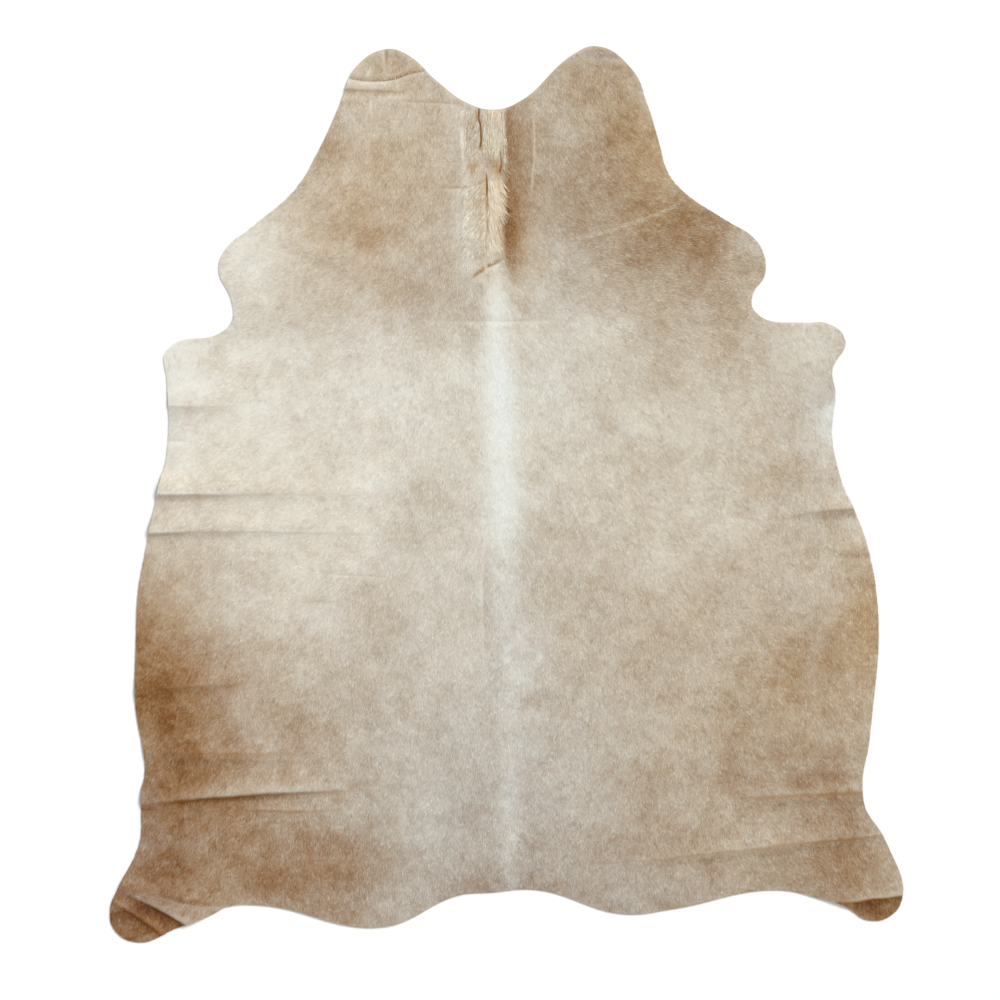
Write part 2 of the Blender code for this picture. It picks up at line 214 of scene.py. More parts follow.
# The smaller clouds in it.
# across, along, half across, half along, turn, tone
CLOUDS = (
    # neck
    (175, 930, 70, 55, 0, 0.09), (305, 880, 55, 50, 0, -0.07), (170, 660, 50, 45, 0, -0.1),
    (385, 800, 30, 85, 20, 0.11), (-370, 945, 55, 50, 0, 0.06), (-295, 1045, 60, 35, 0, -0.1),
    (-315, 845, 25, 65, 0, -0.05), (-395, 765, 60, 35, 0, 0.08), (-150, 755, 45, 65, 0, -0.07),
    (-125, 935, 40, 60, 0, 0.06), (-360, 635, 70, 55, 0, -0.08), (-580, 685, 85, 45, 30, 0.09),
    (350, 980, 35, 100, 10, 0.1), (228, 1080, 45, 16, 0, -0.13), (45, 965, 30, 20, 0, -0.12),
    (251, 953, 35, 30, 0, 0.11), (361, 894, 30, 28, 0, -0.1), (192, 750, 35, 25, 0, 0.11),
    (288, 688, 35, 20, 0, -0.12), (415, 668, 30, 18, 0, 0.11), (481, 686, 35, 20, 0, -0.12),
    # shoulders
    (315, 565, 65, 80, 0, -0.09), (545, 485, 55, 50, 0, -0.12), (255, 410, 85, 50, 0, 0.09),
    (415, 585, 50, 50, 0, 0.07), (625, 610, 55, 55, 0, 0.12), (-215, 480, 60, 55, 0, -0.09),
    (-40, 495, 55, 35, 0, 0.07), (-115, 305, 80, 50, 0, 0.08), (-610, 360, 100, 30, 0, 0.08),
    (-780, 360, 80, 25, 0, 0.09), (-640, 200, 85, 115, 0, 0.05), (-395, 250, 75, 65, 0, -0.06),
    (595, 320, 95, 55, 0, -0.09), (360, 305, 55, 50, 0, -0.08), (485, 250, 50, 120, 0, 0.06),
    (628, 548, 45, 30, 0, -0.17), (329, 583, 28, 20, 0, -0.13), (263, 566, 30, 18, 0, -0.09),
    (533, 348, 30, 22, 0, -0.1), (-435, 559, 35, 20, 0, 0.1), (-80, 414, 30, 20, 0, 0.08),
    (782, 180, 36, 40, 0, 0.1), (-303, 105, 30, 30, 0, -0.08),
    # barrel
    (-435, 105, 65, 70, 0, -0.08), (-285, 145, 60, 50, 0, -0.06), (-345, 25, 95, 35, 0, 0.08),
    (-200, -25, 50, 65, 0, -0.09), (-590, 0, 130, 50, 0, -0.06), (-850, -66, 35, 12, 0, -0.12),
    (-75, -85, 35, 85, 0, 0.06), (55, -5, 55, 60, 0, 0.06), (230, 185, 55, 55, 0, -0.09),
    (640, 50, 95, 50, 0, -0.07), (800, -50, 60, 15, 0, -0.09), (365, 70, 75, 55, 0, -0.05),
    (560, -75, 60, 75, 0, 0.05), (130, -215, 95, 35, 0, -0.05), (365, -190, 65, 60, 0, 0.05),
    (780, -190, 50, 60, 0, 0.07), (835, 40, 45, 65, 0, 0.08), (870, -85, 35, 40, 0, 0.09),
    # flanks and loin
    (650, -335, 60, 75, 30, -0.07), (835, -345, 50, 45, 0, -0.06), (330, -380, 120, 85, 0, -0.05),
    (-295, -335, 70, 105, 0, -0.07), (-770, -325, 80, 45, 35, 0.09),
    (-540, -295, 110, 45, 0, 0.06), (-890, -210, 20, 155, 0, -0.1),
    (-700, -500, 70, 50, 0, -0.06), (-515, -570, 60, 65, 0, -0.13),
    (-690, -655, 120, 40, 0, -0.1), (-680, -765, 80, 25, 0, -0.09),
    (-880, -605, 30, 100, 0, 0.14), (25, -410, 60, 80, 0, 0.06), (-260, -600, 95, 35, 0, 0.06),
    (475, -640, 50, 60, 0, 0.11), (670, -555, 55, 65, 0, 0.09), (-494, -265, 35, 20, 0, -0.12),
    # thighs and rump
    (340, -705, 75, 40, 0, -0.08), (560, -715, 50, 35, 0, -0.06), (780, -690, 75, 65, 0, -0.11),
    (840, -800, 45, 115, 0, -0.1), (530, -795, 85, 40, 0, 0.09), (695, -825, 120, 25, 0, 0.09),
    (280, -950, 55, 55, 0, 0.08), (-255, -995, 65, 50, 0, 0.07), (-185, -875, 45, 105, 0, 0.06),
    (-750, -845, 40, 35, 0, 0.1), (-420, -840, 85, 60, 0, -0.06), (-70, -770, 55, 65, 0, -0.09),
    (-65, -965, 60, 25, 0, -0.18), (85, -965, 55, 25, 0, -0.11), (-850, -925, 105, 80, 0, -0.2),
    (-760, -1024, 35, 10, 15, 0.07), (-775, -975, 50, 20, 0, -0.06), (819, -862, 22, 26, 0, 0.08),
    (-580, -965, 120, 35, 0, -0.12), (350, -1010, 170, 25, 0, -0.09),
    (865, -1015, 105, 30, 0, -0.26), (-880, -1040, 105, 60, 0, -0.22),
    (-420, -1040, 120, 30, 0, -0.1), (205, -870, 70, 35, 0, -0.05), (-690, -725, 75, 20, 0, 0.06),
    (850, -686, 50, 28, 0, 0.14), (645, -679, 45, 25, 0, 0.09), (-550, -698, 40, 20, 0, -0.09),
    (501, -735, 30, 18, 0, 0.1), (300, -816, 35, 20, 0, 0.11), (-629, -862, 30, 22, 0, 0.11),
    (-126, -862, 30, 25, 0, -0.09), (-893, -833, 20, 30, 0, 0.11), (-940, -1009, 25, 18, 0, 0.11),
    (-860, -765, 34, 9, 0, 0.14), (925, -905, 30, 40, 0, -0.08), (925, -1026, 60, 20, 0, -0.06),
    # spots and flecks
    # The third cloud here is painted shade in the small hollow at the crest's foot.
    (-324, 820, 9, 32, 0, -0.12), (-79, 804, 10, 10, 0, -0.18), (-24, 798, 12, 18, 0, -0.42),
    (-53, 559, 6, 8, 0, 0.16), (-520, 655, 45, 12, -25, -0.08), (-432, 560, 60, 10, -28, -0.07),
    (-596, 455, 60, 12, 0, -0.06), (-696, 341, 18, 20, 0, -0.07), (-657, 342, 18, 20, 0, 0.05),
    (-464, 290, 20, 14, 0, -0.06), (-734, 92, 9, 8, 0, -0.12), (779, 207, 30, 10, 15, 0.15),
    # The first cloud here is painted shade under the white tuft above it.
    (779, 180, 28, 8, 0, -0.1), (-893, -406, 14, 10, 0, -0.16), (-836, -488, 32, 12, 0, -0.08),
    (-510, -577, 14, 20, 0, -0.1), (-789, -700, 18, 28, 0, -0.12), (-806, -763, 16, 15, 0, -0.12),
    (-797, -807, 10, 16, 0, -0.1), (720, -361, 24, 9, 0, -0.1), (801, -405, 20, 11, 0, -0.12),
    (690, -474, 16, 12, 0, -0.08), (818, -557, 16, 9, 0, -0.1), (556, -695, 60, 14, 0, -0.1),
    (752, -693, 60, 12, 0, -0.12), (-412, -859, 40, 22, 0, -0.08), (-407, -932, 45, 22, 0, -0.08),
    (53, -932, 14, 18, 0, -0.1), (279, -871, 60, 28, 0, -0.06), (-935, -1055, 30, 22, 0, 0.1),
)

# Lines that run along the spine and the mane, from the neck to the rump.
# along, across, half width to the left and to the right, tone
BACK_STRIPE = (
    (580, -30, 12, 15, 0.0), (545, -30, 16, 20, 0.16), (475, -25, 24, 30, 0.27),
    (355, -22, 36, 40, 0.26), (135, -14, 46, 46, 0.25), (-60, -6, 46, 44, 0.24),
    (-160, -1, 42, 40, 0.16), (-305, 4, 30, 35, 0.08), (-480, 12, 26, 34, 0.09),
    (-675, 12, 26, 29, 0.1), (-845, 10, 22, 22, 0.14), (-930, 10, 20, 20, 0.15),
    (-985, 12, 18, 18, 0.08),
)
MANE_SHADE = (
    (960, 2, 4, 45, -0.1), (935, 2, 4, 50, -0.22), (900, 2, 4, 60, -0.4), (850, 2, 4, 60, -0.47),
    (820, 2, 4, 60, -0.33), (795, 3, 6, 54, -0.28), (755, 3, 11, 52, -0.45),
    (700, 3, 13, 50, -0.55), (655, 3, 16, 44, -0.66), (630, 4, 16, 42, -0.64),
    (605, 4, 10, 38, -0.36), (570, 8, 10, 30, -0.44), (545, 14, 10, 26, -0.24),
    (520, 22, 16, 20, -0.12), (495, 22, 16, 20, 0.0),
)
MANE_CREAM = (
    (960, -40, 18, 24, 0.08), (830, -40, 18, 24, 0.1), (800, -42, 18, 18, 0.04),
    (775, -38, 10, 18, 0.18), (700, -36, 12, 18, 0.22), (640, -38, 10, 15, 0.18),
    (600, -40, 12, 22, 0.2), (570, -36, 12, 22, 0.12), (540, -32, 20, 22, 0.0),
)
MANE_LEFT = (
    (950, -105, 24, 20, 0.08), (860, -105, 12, 20, 0.12), (790, -100, 14, 20, 0.08),
    (745, -95, 30, 22, 0.18), (690, -92, 36, 26, 0.22), (640, -92, 40, 34, 0.22),
    (580, -92, 36, 40, 0.12), (510, -92, 34, 34, 0.0),
)
LONG_LINES = (BACK_STRIPE, MANE_SHADE, MANE_CREAM, MANE_LEFT)

# Where the coat is yellower (+) or greyer (-) than its tone alone makes it.
# name, across, along, half across, half along, turn, warmth
WARMTH = (
    ("right_side", 500, 50, 450, 1200, 0, 4.3),
    ("left_neck_cream", -330, 780, 220, 200, 0, 6.0),
    ("mane_cream", -40, 750, 50, 200, 0, 5.0),
    ("right_of_mane_tan", 35, 620, 45, 140, 0, 6.0),
    ("crest_foot_gold", -26, 800, 15, 18, 0, 9.0),
    ("crest_fleck_brown", -12, 812, 5, 30, 0, -5.0),
    ("neck_crease_grey", -66, 905, 8, 50, 0, -3.0),
    ("mane_crease_tan", -48, 680, 7, 110, 0, 6.0),
    ("crest_foot_red", -80, 803, 12, 12, 0, 8.0),
    ("mane_foot_red", -58, 557, 30, 14, 25, 7.0),
    ("right_lobe_cream", 260, 1000, 160, 140, 0, 4.6),
    ("right_neck_cream", 370, 810, 120, 150, 0, 8.5),
    ("right_lobe_tip_grey", 228, 1080, 60, 18, 0, -7.0),
    ("left_lobe_cream", -280, 1020, 150, 100, 0, 4.5),
    ("left_flank_gold", -840, -380, 90, 180, 0, 3.0),
    ("right_edge_gold", 900, -300, 100, 210, 0, 8.5),
    ("right_flank_gold", 720, -480, 180, 130, 0, 3.6),
    ("left_shoulder_cream", -510, 600, 200, 150, 0, 2.5),
    ("left_barrel_cream", -690, 40, 270, 200, 0, 2.5),
    ("left_girth_cream", -700, 300, 140, 80, 0, 2.0),
    ("right_girth_pink", 230, 280, 150, 110, 0, -1.0),
    ("right_girth_cool", 800, 200, 80, 80, 0, -6.0),
    ("left_girth_cool", -820, 190, 60, 50, 0, -4.0),
    ("spine_cool", 0, -260, 80, 240, 0, -4.0),
    ("rump_cool", 0, -810, 380, 370, 0, -6.5),
    ("left_thigh_cool", -850, -880, 130, 100, 0, -4.5),
    ("left_leg_cool", -810, -1005, 75, 26, -22, -6.0),
    ("left_leg_tip_cool", -935, -1030, 60, 55, 0, -7.0),
    ("right_leg_tan", 880, -950, 120, 100, 0, 3.5),
    ("left_thigh_rim", -900, -750, 60, 150, 0, -6.5),
    ("rump_rim", 350, -990, 610, 60, 0, -4.0),
)

# Patches and clouds have wavering edges.
# size, shift, seed across, seed along
WAVERS = ((0.055, 0.012, 51, 61), (0.024, 0.006, 52, 62))

# Mottling finer than the clouds; brown hair is more mottled than white.
# size, tone, seed
MOTTLES = ((0.085, 0.030, 11), (0.042, 0.044, 12), (0.021, 0.046, 13), (0.011, 0.034, 14))
DARK_MOTTLES = 1.25          # the dark ones are this much stronger
# size, warmth, seed
WARM_MOTTLES = ((0.075, 0.9, 31), (0.032, 0.9, 32))
# tone, share
MOTTLE_SHARES = ((0.35, 1.25), (0.87, 0.76), (1.02, 0.40))

# Which way the hair lies, in degrees from +X; -90 is straight to the rump.
# place, across, along, angle
HAIR_LIES = (
    ("left_lobe", -310, 1060, -80),
    ("left_neck", -280, 920, -110),
    ("right_neck", 210, 920, -60),
    ("left_of_crest", -100, 860, -108),
    ("mane", -40, 840, -90),
    ("left_of_mane", -100, 570, -125),
    ("right_of_mane", 30, 570, -15),
    ("right_shoulder", 350, 620, -10),
    ("left_shoulder", -510, 600, -150),
    ("left_back", -160, 110, -100),
    ("right_back", 130, 110, -80),
    ("left_barrel", -510, 40, -150),
    ("right_barrel", 470, 40, -45),
    ("left_belly", -770, -260, -125),
    ("right_belly", 840, -90, -75),
    ("right_flank", 670, -360, -50),
    ("right_belly_edge", 870, -310, -80),
    ("left_loin", -140, -450, -96),
    ("right_loin", 160, -450, -84),
    ("left_thigh", -750, -700, -120),
    ("right_thigh", 720, -700, -65),
    ("left_rump", -380, -870, -95),
    ("right_rump", 350, -870, -85),
    ("left_leg", -900, -1020, -120),
    ("right_leg", 920, -990, -60),
)
LIE_REACH = 0.20             # how far each of them holds sway
LIE_FAR = 0.002              # and how weakly it still counts beyond that
LIE_NEAR = 0.05

# Creases and scars, each a line of places. A crease dips or rises, with painted shade
# along a dip and a painted highlight along a rise; a scar is colour alone. Both are weak
# at their ends.
# name, rise, half width, tone, places
CREASES = (
    ("rib_crease", -0.8, 2.6, -0.1, ((-843, 132), (-784, 132))),
    ("thigh_edge_crease", -0.8, 2.2, -0.22, ((-925, -772), (-850, -773))),
    ("flank_edge_crease", -0.8, 2.2, -0.2, ((-925, -495), (-888, -495))),
    ("thigh_scar", 0, 1.8, 0.14, ((-566, -646), (-568, -724))),
    ("buttock_middle", 0.9, 3, 0.06, ((-471, -903), (-395, -900))),
    ("loin_crease", -0.7, 3, -0.05, ((539, -53), (624, -65))),
    ("belly_wrinkle", -0.5, 2.2, -0.07, ((-440, -193), (-395, -196), (-290, -202))),
    ("belly_wrinkle_low", -0.5, 2.2, -0.07, ((-496, -263), (-407, -264))),
    ("neck_scar", 0, 1.8, 0.22, ((160, 768), (205, 773), (275, 790))),
    ("shoulder_scar", 0, 1.8, 0.42,
     ((173, 626), (252, 646), (311, 664), (372, 687), (411, 704), (445, 729))),
    ("shoulder_fleck", 0, 4, 0.4, ((317, 551), (319, 549))),
    ("right_lobe_streak", 0.4, 3, 0.12,
     ((140, 1058), (170, 1064), (205, 1066), (262, 1066), (295, 1058))),
    ("lobe_crease", -1.4, 2.4, -0.42,
     ((-386, 1020), (-357, 1014), (-327, 1012), (-296, 1014), (-271, 1019), (-247, 1028),
      (-222, 1034), (-197, 1040))),
    ("lobe_third", -0.6, 3, -0.14, ((-260, 966), (-215, 963), (-170, 962), (-120, 958))),
    ("lobe_third_light", 0.6, 4, 0.12, ((-320, 973), (-240, 971))),
    ("lobe_streak", 0.8, 2.4, 0.18, ((-303, 1096), (-301, 1058))),
    ("lobe_streak_shade", -0.6, 2.6, -0.2, ((-296, 1090), (-294, 1052))),
    ("lobe_streak_low", 0.8, 2.4, 0.16, ((-330, 1056), (-343, 1018))),
    ("lobe_fleck", 0.6, 2.2, 0.16, ((-333, 973), (-333, 940))),
    ("neck_crease", -1.4, 2.2, -0.78,
     ((-66, 948), (-68, 934), (-68, 920), (-64, 906), (-63, 892), (-62, 866), (-65, 846))),
    ("neck_crease_side", -0.6, 1.8, -0.26, ((-76, 942), (-72, 914))),
    ("crest_fleck", -1, 1.6, -0.52, ((-16, 842), (-14, 828), (-12, 816), (-13, 804), (-17, 788))),
    ("neck_tick", -0.4, 2, -0.08, ((-170, 815), (-106, 816))),
    ("mane_crease", -1.2, 1.9, -0.74, ((-49, 784), (-48, 756), (-48, 728))),
    ("mane_crease_middle", -0.5, 2, -0.3, ((-50, 724), (-48, 690))),
    ("mane_crease_low", -0.5, 2, -0.26, ((-47, 680), (-47, 648), (-50, 622), (-49, 590))),
    ("mane_hook", -0.8, 2.4, -0.26, ((-155, 751), (-99, 753), (-64, 762), (-48, 772))),
    ("mane_foot_left", -1.2, 4, -0.6, ((-85, 531), (-70, 542), (-54, 552))),
    ("mane_foot_right", -1.2, 3.4, -0.74, ((-50, 557), (-36, 563), (-18, 572))),
    ("mane_foot_line", -0.6, 2, -0.22, ((-22, 571), (6, 583))),
    ("withers_crease", -0.6, 4, -0.03, ((-192, 428), (-15, 425), (137, 428))),
    ("right_pleat", 0.8, 2.6, 0.17, ((67, 925), (68, 864), (68, 820), (63, 780), (61, 729))),
    ("left_pleat", 0.8, 4.2, 0.1, ((-110, 905), (-109, 860), (-106, 826), (-100, 780))),
)

# Folds that lean over: a painted highlight along the crest, to the left of the line as it
# runs, then a small drop with painted shade under it. A strength below zero turns it round:
# the crest is painted darker and the fold's own shade lighter.
# name, drop, painted light, its reach, painted shade, its reach, places with the fold's strength
# there
LEANING_FOLDS = (
    ("girth_fold", 0.8, 0.2, 6, 0.12, 17,
     ((-866, -2, 0.8), (-815, -1, 1.0), (-759, 0, 1.0), (-702, -2, 0.7), (-652, -2, 0.0),
      (-530, -1, -0.25), (-407, 1, 0.0))),
    ("belly_fold", 0.9, 0.17, 7, 0.26, 8,
     ((-880, -97, 0.9), (-829, -95, 1.0), (-787, -93, 0.55), (-745, -89, 0.3), (-684, -92, 0.25),
      (-618, -91, 0.2), (-543, -94, 0.2), (-496, -94, 0.25), (-384, -96, 0.15), (-334, -98, 0.0))),
    ("belly_ripple", 0.6, 0.1, 8, 0.1, 12,
     ((-895, -147, 0.8), (-870, -147, 0.8), (-830, -146, 0.0))),
    ("flank_ripple", 0.5, 0.05, 12, 0.09, 18,
     ((-840, -478, 0.2), (-810, -474, 0.6), (-747, -467, 1.0), (-694, -470, 0.9),
      (-628, -457, 0.5), (-598, -452, 0.0))),
    ("thigh_ripple", 0.4, 0.04, 8, 0.09, 8,
     ((-760, -632, 0.2), (-747, -632, 0.6), (-664, -634, 1.0), (-623, -636, 1.0),
      (-559, -634, 0.7), (-505, -640, 0.4), (-481, -640, 0.0))),
    ("thigh_fold", 1, 0.2, 18, 0.38, 12,
     ((-905, -762, 0.3), (-860, -756.5, 0.3), (-835, -753, 0.45), (-784, -749, 0.5),
      (-728, -743, 0.9), (-656, -739, 1.0), (-596, -733, 0.85), (-529, -731, 0.8),
      (-454, -728, 0.65), (-401, -725, 0.3), (-358, -723, 0.0))),
    ("thigh_fold_low", 0.5, 0.06, 11, 0.16, 6,
     ((-652, -773, 0.0), (-623, -773, 0.7), (-529, -776, 1.0), (-484, -776, 0.8),
      (-417, -773, 0.5), (-383, -773, 0.0))),
    ("left_leg_fold", 1.4, 0.32, 16, 0.36, 24,
     ((-935, -978, 0.0), (-918, -987, 0.4), (-870, -1008, 0.8), (-823, -1033, 1.0),
      (-785, -1056, 1.0), (-770, -1065, 1.0))),
    ("left_leg_upper", 0.6, 0.14, 12, 0.22, 7,
     ((-670, -1008, 0.0), (-707, -1009, 0.8), (-749, -1008, 0.9), (-798, -1002, 1.0),
      (-826, -991, 1.0), (-860, -984, 0.8), (-905, -975, 0.0))),
    ("left_leg_low", 0.8, 0.04, 12, 0.22, 11,
     ((-980, -990, 0.4), (-959, -1001, 0.7), (-923, -1023, 1.0), (-887, -1047, 1.0),
      (-844, -1077, 1.0), (-825, -1090, 1.0))),
    ("right_rump_fold", 0.8, 0.07, 13, 0.14, 9,
     ((203, -906, 0.0), (288, -898, 0.5), (383, -893, 0.5), (467, -882, 0.7), (547, -873, 0.9),
      (623, -865, 0.9), (687, -855, 0.8), (750, -850, 0.8), (834, -843, 0.9), (918, -834, 1.0),
      (950, -829, 1.0))),
    ("right_thigh_fold", 0.6, 0.08, 14, 0.14, 12,
     ((537, -746, 0.0), (585, -743, 0.7), (695, -736, 1.0), (780, -732, 1.0), (885, -727, 0.9))),
    ("right_leg_fold", 1.2, 0.3, 15, 0.3, 17,
     ((795, -1002, 0.2), (813, -1000, 0.4), (855, -998, 0.8), (897, -990, 1.0), (935, -988, 1.0),
      (990, -980, 1.0))),
    ("buttock_fold", 0.5, 0.06, 5, 0.08, 10,
     ((-505, -892, 0.3), (-456, -896, 1.0), (-388, -896, 1.0), (-350, -902, 0.0))),
    ("rump_fold_left", 0.5, 0.05, 5, 0.09, 8,
     ((-322, -893, 0.3), (-290, -893, 1.0), (-220, -894, 0.8), (-190, -896, 0.0))),
    ("right_girth_fold", 0.5, 0.03, 7, 0.09, 6,
     ((622, 45, 0.0), (690, 53, 0.7), (754, 58, 1.0), (805, 63, 0.8), (835, 64, 0.8))),
    ("right_belly_fold", 0.9, 0.05, 9, 0.24, 9,
     ((660, -63, 0.0), (686, -59, 0.2), (728, -45, 0.4), (776, -40, 0.55), (808, -37, 0.8),
      (850, -35, 1.0), (875, -34, 1.0))),
    ("right_belly_low", 0.5, 0.05, 7, 0.12, 15,
     ((905, -158, 1.0), (891, -158, 1.0), (835, -156, 0.8), (783, -148, 0.0))),
    ("right_flank_ripple", 0.5, 0.04, 6, 0.14, 6,
     ((815, -335, 0.0), (850, -333, 0.8), (925, -327, 1.0))),
    ("right_flank_middle", 0.4, 0.02, 4, 0.1, 5,
     ((845, -390, 0.0), (870, -389, 1.0), (920, -387, 1.0))),
    ("right_flank_low", 0.5, 0.12, 5, 0.09, 6,
     ((835, -421, 0.0), (860, -420, 1.0), (920, -417, 1.0))),
    ("brisket_fold", 0.6, 0.03, 9, 0.14, 9,
     ((-840, 216, 1.0), (-775, 214, 1.0), (-709, 214, 0.5), (-638, 218, 0.0))),
    ("lobe_fold", 0.8, 0.2, 13, 0.2, 5,
     ((-190, 1042, 0.5), (-219, 1033, 0.7), (-237, 1031, 0.8), (-254, 1025, 0.6),
      (-269, 1017, 0.8), (-292, 1014, 1.0), (-349, 1016, 1.0), (-400, 1021, 0.9))),
    ("lobe_fold_low", 0.6, 0.03, 6, 0.21, 10,
     ((-405, 994, 1.0), (-347, 990, 0.8), (-292, 989, 0.9), (-258, 988, 1.1), (-240, 988, 0.0))),
    ("spine_seam", 0.3, 0.03, 20, 0.06, 12,
     ((-52, -450, 0.0), (-57, -308, 1.0), (-59, -222, 1.0), (-54, -110, 0.0))),
)

# The mane: longer hair in short runs along the neck's ridge and beside it.
# name, hairs, top, bottom, left edge, right edge, angle at the left, angle at the right,
# bend, length, tone and warmth above the coat's
MANE_RUNS = (
    ("crest_side", 350, 940, 795, -100, -68, -98, -116, -6, 20, 0.03, 3.0),
    ("crest", 440, 940, 868, -58, -6, -94, -86, 0, 26, 0.17, 9.0),
    ("crest_low", 160, 872, 842, -58, -17, -94, -88, 4, 26, 0.18, 10.5),
    ("crest_edge", 60, 875, 812, -7, 1, -88, -78, 14, 22, 0.28, 7.0),
    ("crest_tips", 26, 806, 782, -8, 8, -72, -34, 10, 16, 0.26, 4.0),
    ("withers_side", 800, 765, 585, -105, -51, -122, -112, -10, 21, 0.03, 3.5),
    ("forelock", 380, 772, 690, -44, -14, -90, -66, 12, 31, 0.2, 14.5),
    ("forelock_edge", 60, 768, 684, -14, -6, -74, -52, 14, 28, 0.36, 11.0),
    ("foot", 310, 690, 602, -44, -14, -86, -64, 8, 24, 0.14, 13.0),
    ("wisps", 20, 705, 655, -2, 18, -36, -18, 4, 24, 0.2, 4.0),
)
MANE_SEED = 21
MANE_WIDTH = 0.0013
MANE_TURN = 5.0              # degrees by which hairs differ in direction
MANE_CURL = 9.0              # and in bend
MANE_LENGTHS = (0.75, 1.2)   # shares of a run's length
MANE_RISE = 0.0040
MANE_RISES = (0.4, 1.1)      # shares of that rise
MANE_ARCH = (2.4, 0.8)       # how steeply a hair leaves the skin, and comes down again
MANE_STEPS = 4
MANE_TONES = 0.13
# Painted shade towards each mane hair's root, where the hairs shade each other.
MANE_ROOT_SHADE = 0.08

# How the hair and the skin are mapped for the bake: margins and sizes on the UV square.
MAP_MARGIN = 0.003
MAP_HALF = 0.49              # width of the hair side, and of the flesh side beside it
MAP_WALL = 0.002             # opens out the cut edge
HAIR_MAP_MARGIN = 0.004

# The camera looks straight down from above the middle of the hide.
CAMERA_PLACE = (-0.0156, -0.0141, 6.81)
CAMERA_LENS = 100.0
CAMERA_SENSOR = 36.0
CAMERA_REACH = 100.0
FLOOR_SIZE = 400.0
# place on the ramp, grey
FLOOR_GREYS = ((0.2, 0.74), (0.8, 0.77))
KEY_TURN = (52.0, 0.0, 135.0)    # degrees; from beyond the right shoulder
KEY_FROM = 45.0                  # the side it comes from, in degrees from +X
KEY_SOFTNESS = 22.0
KEY_STRENGTH = 3.45
FILL_STRENGTH = 0.70


# ---------------------------------------------------------------- fields over the hide

def metres(lengths):
    """Lengths, or arrays of them, turned from millimetres to metres."""
    return [length / 1000.0 for length in lengths]


def between_four(values, row, column, up, over):
    """A grid's values between four of its points; up and over are shares of a step."""
    lower = values[row, column] * (1.0 - over) + values[row, column + 1] * over
    upper = values[row + 1, column] * (1.0 - over) + values[row + 1, column + 1] * over
    return lower * (1.0 - up) + upper * up


class Ground:
    """An even grid over the hide's box, and values laid out on it."""

    def __init__(self, box):
        low, high = box
        self.left = low.x - GRID_MARGIN
        self.bottom = low.y - GRID_MARGIN
        self.columns = int((high.x - low.x + 2.0 * GRID_MARGIN) / GRID) + 2
        self.rows = int((high.y - low.y + 2.0 * GRID_MARGIN) / GRID) + 2
        self.across, self.along = np.meshgrid(
            self.left + GRID * np.arange(self.columns),
            self.bottom + GRID * np.arange(self.rows))

    def read(self, values, across, along):
        """Values between the grid's points, blended from the four around each place."""
        column = np.clip((across - self.left) / GRID, 0.0, self.columns - GRID_END)
        row = np.clip((along - self.bottom) / GRID, 0.0, self.rows - GRID_END)
        c, r = column.astype(int), row.astype(int)
        return between_four(values, r, c, row - r, column - c)

    def window(self, low_x, low_y, high_x, high_y):
        """The part of the grid round a box, as a pair of slices."""
        first = (int((low_y - self.bottom) / GRID), int((low_x - self.left) / GRID))
        last = (int((high_y - self.bottom) / GRID) + 2, int((high_x - self.left) / GRID) + 2)
        return (slice(max(first[0], 0), max(last[0], 0)),
                slice(max(first[1], 0), max(last[1], 0)))


def soften(values, passes):
    """Blur a grid a little, by averaging each point with its neighbours."""
    for _ in range(passes):
        padded = np.pad(values, 1, mode="edge")
        tall = (padded[:-2] + 2.0 * padded[1:-1] + padded[2:]) / 4.0
        values = (tall[:, :-2] + 2.0 * tall[:, 1:-1] + tall[:, 2:]) / 4.0
    return values


def mottle(across, along, size, seed):
    """Even cloudiness between -1 and 1, with lumps of about a given size."""
    lattice = np.random.default_rng(seed).uniform(-1.0, 1.0, (LATTICE, LATTICE))
    column = across / size + LATTICE_MIDDLE[0]
    row = along / size + LATTICE_MIDDLE[1]
    c, r = np.floor(column).astype(int), np.floor(row).astype(int)
    u, v = column - c, row - r
    u, v = u * u * (3.0 - 2.0 * u), v * v * (3.0 - 2.0 * v)
    return between_four(lattice, r % (LATTICE - 1), c % (LATTICE - 1), v, u)


def mottle_sum(rows, across, along):
    """Cloudiness of several sizes, strengths and seeds together."""
    return sum(amount * mottle(across, along, size, seed) for size, amount, seed in rows)


def mottle_share(tone):
    """How strongly hair of some tone is mottled."""
    return np.interp(tone, *np.array(MOTTLE_SHARES).T)


def wavered(across, along):
    """Places shifted a little to and fro, so that what is laid by them wavers."""
    east, north = across, along
    for size, shift, east_seed, north_seed in WAVERS:
        east = east + shift * mottle(across, along, size, east_seed)
        north = north + shift * mottle(across, along, size, north_seed)
    return east, north


def soft_ovals(rows, across, along):
    """The sum of soft oval patches at each place."""
    total = np.zeros_like(across)
    for *lengths, turn, amount in rows:
        x, y, half_across, half_along = metres(lengths)
        angle = radians(turn)
        dx, dy = across - x, along - y
        u = (dx * cos(angle) + dy * sin(angle)) / half_across
        v = (dy * cos(angle) - dx * sin(angle)) / half_along
        total += amount * np.exp(-(u * u + v * v))
    return total


def long_line(marks, across, along):
    """A soft line of changing place, widths and strength down the hide."""
    *lengths, amounts = np.array(marks)[::-1].T
    alongs, acrosses, lefts, rights = metres(lengths)
    away = across - np.interp(along, alongs, acrosses)
    width = np.where(away < 0.0, np.interp(along, alongs, lefts),
                     np.interp(along, alongs, rights))
    amount = np.interp(along, alongs, amounts, left=0.0, right=0.0)
    return amount * np.exp(-(away / width) ** 2)


def from_run(start, run, across, along):
    """How far each place is from a straight run, and how much of the run it is past."""
    dx, dy = across - start[0], along - start[1]
    share = np.clip((dx * run[0] + dy * run[1]) / (run[0] ** 2 + run[1] ** 2), 0.0, 1.0)
    return np.hypot(dx - share * run[0], dy - share * run[1]), share


